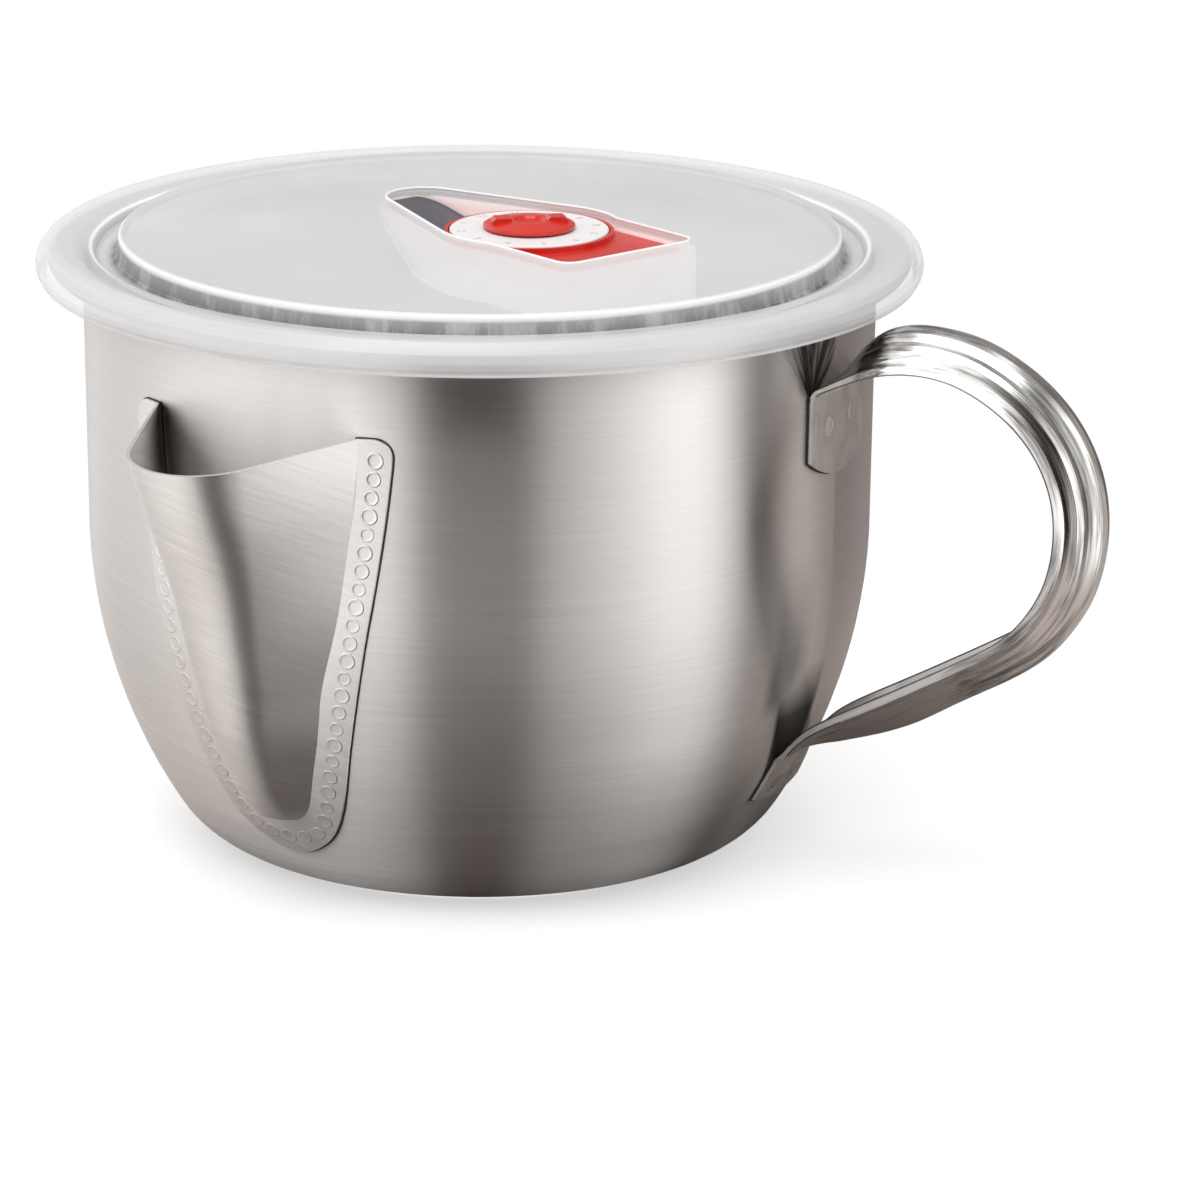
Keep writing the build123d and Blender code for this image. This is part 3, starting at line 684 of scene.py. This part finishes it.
# %% Lid finish
cloudy = f.noise(f.coords(), 25.0, 2.0)
body = f.mix(cloudy, (0.86, 0.865, 0.88), (0.92, 0.925, 0.94))
# Painted light: the well's walls are pure white, so they stay pale in the shade under the panel.
body = f.mix(well, body, (1.0, 1.0, 1.0))
# The red of the valve plate is painted onto the well's upper walls as painted light.
body = f.mix(painted_red_spill * 0.5, body, (1.0, 0.60, 0.55))
# Painted shade: the groove, with streaks, and the finger ramp turn nearly black.
body = f.mix(groove, body, (0.10, 0.098, 0.105))
body = f.mix(ramp_face, body, (0.10, 0.10, 0.115))
cover_share = brim * -0.10 - skirt * 0.05 + edges * 0.4 + well * 0.15 + groove * 0.3 + ramp_face * 0.35
cover_share = cover_share + (cloudy - 0.5) * 0.10 + 0.55
glow_colour = f.mix(painted_red_spill, (0.26, 0.26, 0.265), (0.26, 0.20, 0.19))
well_glow = f.mix(well * (1.0 - ramp_face), (0.0, 0.0, 0.0), glow_colour)
# The edge masks are painted white here, as painted highlights.
shader = f.node(
    "ShaderNodeBsdfPrincipled", None, Base_Color=f.mix(edges, body, (0.99, 0.99, 0.99)),
    Roughness=(cloudy - 0.5) * 0.1 + 0.3, IOR=1.49, Alpha=cover_share.clamp(),
    Emission_Color=well_glow, Emission_Strength=1.0,
    Normal=f.bump(f.noise(f.coords(), 60.0, 1.0), 0.2 * mm, 0.15),
)
surface(f, shader)
dress("lid", lid_plastic)
print("milky lid")

# %% [markdown]
# ## Opaque mouldings
# The valve plate and knob are glossy red plastic, the date ring is white, and the seal under the
# knob is soft white rubber. Moulded plastic is never one flat colour: a slow cloud shifts its
# tone a little, and a fine grain breaks up its shine.


# %% Red, white and rubber
def moulded(name, colour, dark, roughness, coat=0.0):
    """Opaque moulded plastic: a faint cloud in the colour and a fine grain."""
    material, f = new_finish(name)
    cloudy = f.noise(f.coords(), 90.0, 3.0)
    grain = f.noise(f.coords(), 1500.0, 2.0)
    base = f.mix(cloudy, dark, colour)
    shader = f.node(
        "ShaderNodeBsdfPrincipled", None, Base_Color=base, Roughness=(cloudy - 0.5) * 0.12 + roughness,
        IOR=1.5, Coat_Weight=coat, Normal=f.bump(grain, 0.01 * mm, 0.3),
    )
    surface(f, shader)
    return material


red = moulded("red_plastic", (0.68, 0.02, 0.008), (0.56, 0.012, 0.005), 0.3, coat=0.2)
dress("valve_plate", red)
dress("vent_knob", red)
dress("date_dial", moulded("white_plastic", (0.86, 0.85, 0.85), (0.80, 0.79, 0.79), 0.35))
dress("vent_seal", moulded("white_rubber", (0.82, 0.82, 0.81), (0.76, 0.76, 0.75), 0.55))
print("plastics on the valve")

# %% [markdown]
# ## Spot weld marks
# The spout and the handle are held by spot welds. An electrode leaves a shallow dimple with a
# raised ring round it. The CAD has a plain nugget at each weld, which gives the place and the
# direction of every mark, so each mark is one small profile, spun round the nugget's axis.
# The nuggets are taken in the order of the mesh, so each mark has the same size in every run.


# %% Nuggets
def islands(node):
    """The separate solids of a CAD node: the middle of the outer cap and the outward direction."""
    bm = merged(node)
    left = dict.fromkeys(bm.verts)
    found = []
    while left:
        first = next(iter(left))
        del left[first]
        group, frontier = [], [first]
        while frontier:
            v = frontier.pop()
            group.append(v)
            for e in v.link_edges:
                other = e.other_vert(v)
                if other in left:
                    del left[other]
                    frontier.append(other)
        centre = sum((v.co for v in group), Vector()) / len(group)
        caps = {}
        for face in dict.fromkeys(g for v in group for g in v.link_faces):
            key = tuple(round(c, 2) for c in face.normal)
            caps[key] = caps.get(key, 0) + face.calc_area()
        outward = Vector((centre.x, centre.y, 0)).normalized()
        normal = max((k for k in caps if Vector(k).dot(outward) > 0.4), key=lambda k: caps[k])
        normal = Vector(normal).normalized()
        height = max((v.co - centre).dot(normal) for v in group)
        found.append((centre + normal * height, normal))
    bm.free()
    return found


nuggets = {node: islands(node) for node in ("spout_welds", "handle_welds")}
print("nuggets:", {node: len(found) for node, found in nuggets.items()})


# %% Weld marks
def weld_marks(name, node, profile, material):
    """A ring mark at each nugget. The profile is (radius, height) in millimetres."""
    whole = bmesh.new()
    for count, (top, normal) in enumerate(nuggets[node]):
        size = 1 + 0.09 * sin(count * 2.4)
        bm = bmesh.new()
        line = [bm.verts.new((r * mm * size, 0, h * mm)) for r, h in profile]
        for a, b in zip(line, line[1:]):
            bm.edges.new((a, b))
        bmesh.ops.spin(
            bm, geom=bm.verts[:] + bm.edges[:], cent=(0, 0, 0), axis=(0, 0, 1), angle=2 * pi,
            steps=20, use_merge=True,
        )
        bmesh.ops.remove_doubles(bm, verts=bm.verts, dist=merge_distance)
        bmesh.ops.recalc_face_normals(bm, faces=bm.faces)
        turn = normal.to_track_quat("Z", "Y").to_matrix().to_4x4()
        bmesh.ops.transform(bm, matrix=Matrix.Translation(top) @ turn, verts=bm.verts)
        part = bpy.data.meshes.new("mark")
        bm.to_mesh(part)
        bm.free()
        whole.from_mesh(part)
        bpy.data.meshes.remove(part)
    return piece(name, whole, material, "pot", node)


mark_steel = brushed("mark_steel", (0.79, 0.765, 0.745), 0.42, (300, 300, 300), spread=0.9)
ring = [(0, -0.04), (0.7, -0.04), (1.0, -0.035), (1.15, 0.01), (1.25, 0.012), (1.35, -0.005), (1.42, -0.05)]
weld_marks("spout_weld_marks", "spout_welds", ring, mark_steel)
small_ring = [(0, -0.01), (0.8, -0.01), (0.95, -0.03), (1.1, 0.015), (1.3, 0.0), (1.6, -0.03), (1.68, -0.07)]
weld_marks("handle_weld_marks", "handle_welds", small_ring, mark_steel)

# %% [markdown]
# ## Lines along the edges
# Three kinds of edge are told from a distance by a fine line. The cut edges of the handle's
# strip get a thin line of dark grey steel. Where a sheet is welded on a wall, a dark line is laid
# in the seam round it, as painted shadow. And a white line is laid along the moulded edges of the
# lid's well, as a painted highlight. The CAD mesh already holds every one of these edges, so they
# are traced: the sharp edges that pass a test are joined into chains, and each chain becomes a
# curve with a small round section.

# %% Traced edges
sharp_angle = radians(50)


def chains(left):
    """Joins edges into chains of vertices, each with a word on whether it closes on itself."""
    while left:
        edge = next(iter(left))
        del left[edge]
        chain = [edge.verts[0], edge.verts[1]]
        for end in (-1, 0):
            while True:
                tip = chain[end]
                more = next((e for e in tip.link_edges if e in left), None)
                if more is None:
                    break
                del left[more]
                chain.insert(len(chain) if end else 0, more.other_vert(tip))
        closed = chain[0] == chain[-1]
        if closed:
            chain.pop()
        yield chain, closed


def traced(name, node, thick, material, body, keep):
    """Thin round lines along the sharp edges of a CAD node for which keep(middle, edge) holds."""
    bm = merged(node)
    left = {}
    for edge in bm.edges:
        if len(edge.link_faces) == 2 and edge.calc_face_angle() > sharp_angle:
            if keep((edge.verts[0].co + edge.verts[1].co) / 2, edge):
                left[edge] = True
    curve = bpy.data.curves.new(name, "CURVE")
    curve.dimensions = "3D"
    curve.bevel_depth = thick * mm
    curve.bevel_resolution = 1
    curve.use_fill_caps = True
    for chain, closed in chains(left):
        spline = curve.splines.new("POLY")
        spline.points.add(len(chain) - 1)
        for point, vert in zip(spline.points, chain):
            point.co = (*vert.co, 1)
        spline.use_cyclic_u = closed
    bm.free()
    line = bpy.data.objects.new(name, curve)
    bpy.context.collection.objects.link(line)
    drawn = bpy.data.meshes.new_from_object(line.evaluated_get(bpy.context.evaluated_depsgraph_get()))
    bpy.data.objects.remove(line)
    whole = bmesh.new()
    whole.from_mesh(drawn)
    bpy.data.meshes.remove(drawn)
    return piece(name, whole, material, body)


print("edge tracer ready")

# %% Tests for an edge
well_reach = 58 * mm
wall_mesh = merged("pot_body")
pot_wall = BVHTree.FromBMesh(wall_mesh)
wall_mesh.free()


def off_wall(point):
    """Distance from the pot's wall in millimetres."""
    return pot_wall.find_nearest(point)[3] / mm


def on_wall(middle, edge):
    """True for an edge of a sheet that lies on the pot's wall."""
    return off_wall(middle) < 0.3


def in_the_air(middle, edge):
    """True for an edge of a sheet that stands clear of the wall."""
    return off_wall(middle) > 1.5


def top_of_well(middle, edge):
    """True for the upper edge of the lid's well."""
    return hypot(middle.x, middle.y) < well_reach and middle.z > 108.8 * mm


def foot_of_well(middle, edge):
    """True for the lower edges of the lid's well."""
    low = middle.z < 107.6 * mm and edge.verts[0].co.z < 99.3 * mm
    return hypot(middle.x, middle.y) < well_reach and low


print("edge tests ready")

# %% Seams, cut edges and the well's edges
painted_seam_shadow = moulded("seam_shadow", (0.035, 0.03, 0.028), (0.015, 0.013, 0.012), 0.7)
edge_grey = brushed("cut_edge", (0.22, 0.205, 0.195), 0.4, (300, 300, 300), spread=0.0)
bright_edge = moulded("bright_edge", (0.96, 0.96, 0.965), (0.92, 0.92, 0.93), 0.3)
# Painted shadow: dark lines along the seams where the spout and the handle meet the wall.
traced("spout_seam", "spout", 0.2, painted_seam_shadow, "pot", on_wall)
traced("handle_seam", "handle", 0.22, painted_seam_shadow, "pot", on_wall)
traced("handle_edge", "handle", 0.12, edge_grey, "pot", in_the_air)
# Painted highlights: white lines along the upper and lower edges of the lid's well.
traced("well_edge", "lid", 0.24, bright_edge, "cover", top_of_well)
traced("well_foot", "lid", 0.2, bright_edge, "cover", foot_of_well)

# %% [markdown]
# ## Numbers on the date ring
# The ring counts the months, so it carries the plain numbers 1 to 12 in pale grey. Each number is
# a text made into a mesh, laid on the ring and turned to face outward.

# %% Dial numbers
number_size = 2.0 * mm
number_depth = 0.02 * mm
number_lift = 0.03 * mm
number_ring = 12.2 * mm
step_deg, start_deg = 30, -110
grey_ink = moulded("grey_ink", (0.60, 0.59, 0.59), (0.52, 0.51, 0.51), 0.5)
whole = bmesh.new()
for month in range(1, 13):
    letters = bpy.data.curves.new("number", "FONT")
    letters.body = str(month)
    letters.size = number_size
    letters.align_x = "CENTER"
    letters.align_y = "CENTER"
    letters.extrude = number_depth
    text = bpy.data.objects.new("number", letters)
    bpy.context.collection.objects.link(text)
    flat = bpy.data.meshes.new_from_object(text.evaluated_get(bpy.context.evaluated_depsgraph_get()))
    around = Matrix.Rotation(radians(step_deg * month + start_deg), 4, "Z")
    place = Matrix.Translation((dial_centre.x, dial_centre.y, dial_high.z + number_lift))
    outward = Matrix.Translation((0, -number_ring, 0))
    flat.transform(place @ around @ outward)
    whole.from_mesh(flat)
    bpy.data.objects.remove(text)
    bpy.data.meshes.remove(flat)
numbers = piece("dial_numbers", whole, grey_ink, "dial")
for polygon in numbers.data.polygons:
    polygon.use_smooth = False
